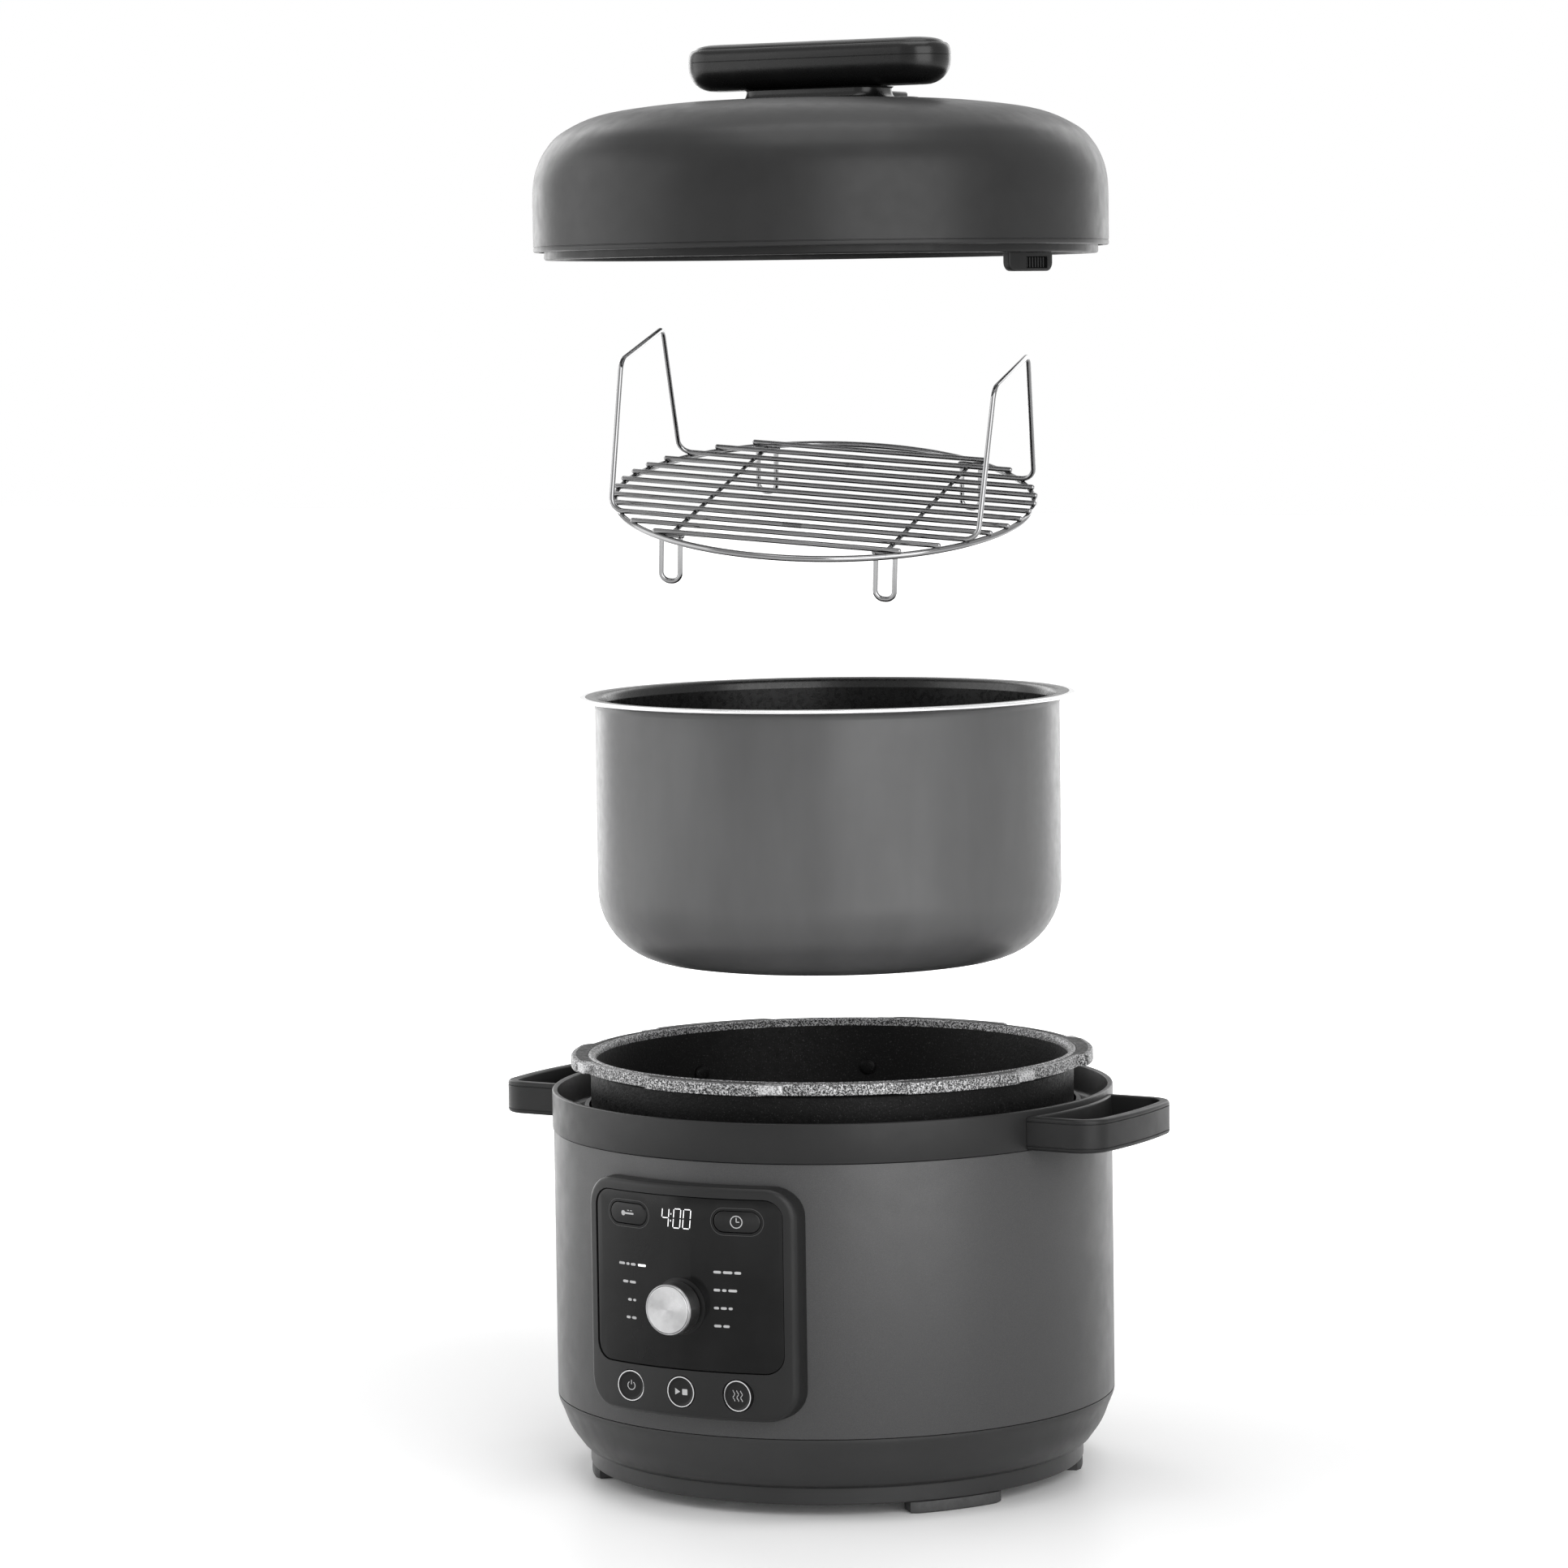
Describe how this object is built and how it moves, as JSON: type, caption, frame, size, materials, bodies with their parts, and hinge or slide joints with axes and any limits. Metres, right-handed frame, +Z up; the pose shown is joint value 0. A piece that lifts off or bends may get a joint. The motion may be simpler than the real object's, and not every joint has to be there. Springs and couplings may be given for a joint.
{
  "type": "electric pressure cooker",
  "caption": "Electric pressure cooker shown taken apart in a column: base with control panel and side handles, inner pot, wire rack and domed lid.",
  "frame": {"origin": "on the floor under the middle of the base, at the bottom of the feet", "axes": "+Z up, control panel facing -Y, side handles along X"},
  "size_m": [0.3602, 0.3336, 0.7383],
  "materials": {
    "charcoal_plastic": "fine moulded matt",
    "dark_plastic": "satin moulded",
    "painted_steel": "satin metallic grey paint",
    "cast_aluminium": "black coated casting with fine light speckle",
    "bare_aluminium": "turned",
    "coated_pot": "satin grey outside, black non-stick inside, polished lip",
    "stainless": "brushed",
    "chromed_wire": "bright",
    "gloss_black": "gloss",
    "rubber": "matt",
    "circuit_board": "lacquered board"
  },
  "bodies": {
    "base": {"base_shell": "painted_steel", "base_skirt": "charcoal_plastic", "bottom_cover": "dark_plastic", "foot_1": "rubber", "foot_2": "rubber", "foot_3": "rubber", "foot_4": "rubber", "cover_screw_1": "stainless", "cover_screw_2": "stainless", "cover_screw_3": "stainless", "cover_screw_4": "stainless", "top_collar": "charcoal_plastic", "side_handle_right": "charcoal_plastic", "side_handle_left": "charcoal_plastic", "cooker_liner": "cast_aluminium", "heating_plate": "bare_aluminium", "heating_element": "stainless", "probe_spring": "stainless", "probe_cup": "stainless", "thermal_fuse": "dark_plastic", "panel_bezel": "charcoal_plastic", "panel_lens": "gloss_black", "display_module": "gloss_black", "control_board": "circuit_board", "encoder_body": "stainless", "power_board": "circuit_board", "power_inlet": "dark_plastic", "inlet_contacts": "stainless", "cup_bracket": "dark_plastic"},
    "probe": {"temperature_probe": "bare_aluminium"},
    "dial": {"dial_knob": "painted_steel", "dial_cap": "bare_aluminium"},
    "temp_key": {"temp_button": "gloss_black"},
    "time_key": {"time_button": "gloss_black"},
    "power_key": {"power_button": "dark_plastic"},
    "start_stop_key": {"start_stop_button": "dark_plastic"},
    "keep_warm_key": {"keep_warm_button": "dark_plastic"},
    "cup": {"condensation_cup": "dark_plastic"},
    "pot": {"inner_pot": "coated_pot"},
    "rack_arc": {"rack_front_arc": "chromed_wire"},
    "rack": {"rack_grid": "chromed_wire"},
    "seal": {"sealing_ring": "rubber"},
    "lid": {"lid_dome": "charcoal_plastic", "lid_rim": "dark_plastic", "pressure_plate": "stainless", "vent_pipe": "stainless", "vent_shield": "stainless", "float_bush": "rubber", "lid_rest_tab": "dark_plastic", "handle_neck": "dark_plastic", "lid_handle": "dark_plastic", "handle_cap": "charcoal_plastic", "handle_screw_1": "stainless", "handle_screw_2": "stainless"},
    "valve": {"steam_valve": "dark_plastic"},
    "float": {"float_valve": "stainless"}
  },
  "joints": [
    {"name": "pot_lift", "type": "slide", "parent": "base", "child": "pot", "axis": [0, 0, 1], "range_m": [-0.1827, 0]},
    {"name": "rack_lift", "type": "slide", "parent": "pot", "child": "rack_arc", "axis": [0, 0, 1], "range_m": [-0.17, 0]},
    {"name": "rack_tip", "type": "hinge", "parent": "rack_arc", "child": "rack", "pos_m": [0.05855, -0.0868, 0.478], "axis": [0.829, 0.5592, 0], "range_deg": [-14, 0]},
    {"name": "lid_lift", "type": "slide", "parent": "rack_arc", "child": "seal", "axis": [0, 0, 1], "range_m": [-0.0768, 0]},
    {"name": "lid_turn", "type": "hinge", "parent": "seal", "child": "lid", "pos_m": [0, 0, 0.6325], "axis": [0, 0, 1], "range_deg": [0, 30]},
    {"name": "valve_turn", "type": "hinge", "parent": "lid", "child": "valve", "pos_m": [0, 0.08, 0.7], "axis": [0, 0, 1], "range_deg": [0, 60]},
    {"name": "float_rise", "type": "slide", "parent": "lid", "child": "float", "axis": [0, 0, 1], "range_m": [0, 0.0035]},
    {"name": "probe_press", "type": "slide", "parent": "base", "child": "probe", "axis": [0, 0, 1], "range_m": [-0.003, 0], "stiffness_N_per_m": 1500, "springref_m": 0.002, "deforming": ["probe_spring"]},
    {"name": "dial_turn", "type": "hinge", "parent": "base", "child": "dial", "pos_m": [0, -0.155, 0.109], "axis": [0, -1, 0], "continuous": true},
    {"name": "cup_lift", "type": "slide", "parent": "base", "child": "cup", "axis": [0, 0, 1], "range_m": [0, 0.03]},
    {"name": "temp_press", "type": "slide", "parent": "base", "child": "temp_key", "axis": [0, 1, 0], "range_m": [0, 0.0012], "stiffness_N_per_m": 1200, "springref_m": -0.0004},
    {"name": "time_press", "type": "slide", "parent": "base", "child": "time_key", "axis": [0, 1, 0], "range_m": [0, 0.0012], "stiffness_N_per_m": 1200, "springref_m": -0.0004},
    {"name": "power_press", "type": "slide", "parent": "base", "child": "power_key", "axis": [0, 1, 0], "range_m": [0, 0.0012], "stiffness_N_per_m": 1200, "springref_m": -0.0004},
    {"name": "start_stop_press", "type": "slide", "parent": "base", "child": "start_stop_key", "axis": [0, 1, 0], "range_m": [0, 0.0012], "stiffness_N_per_m": 1200, "springref_m": -0.0004},
    {"name": "keep_warm_press", "type": "slide", "parent": "base", "child": "keep_warm_key", "axis": [0, 1, 0], "range_m": [0, 0.0012], "stiffness_N_per_m": 1200, "springref_m": -0.0004}
  ]
}
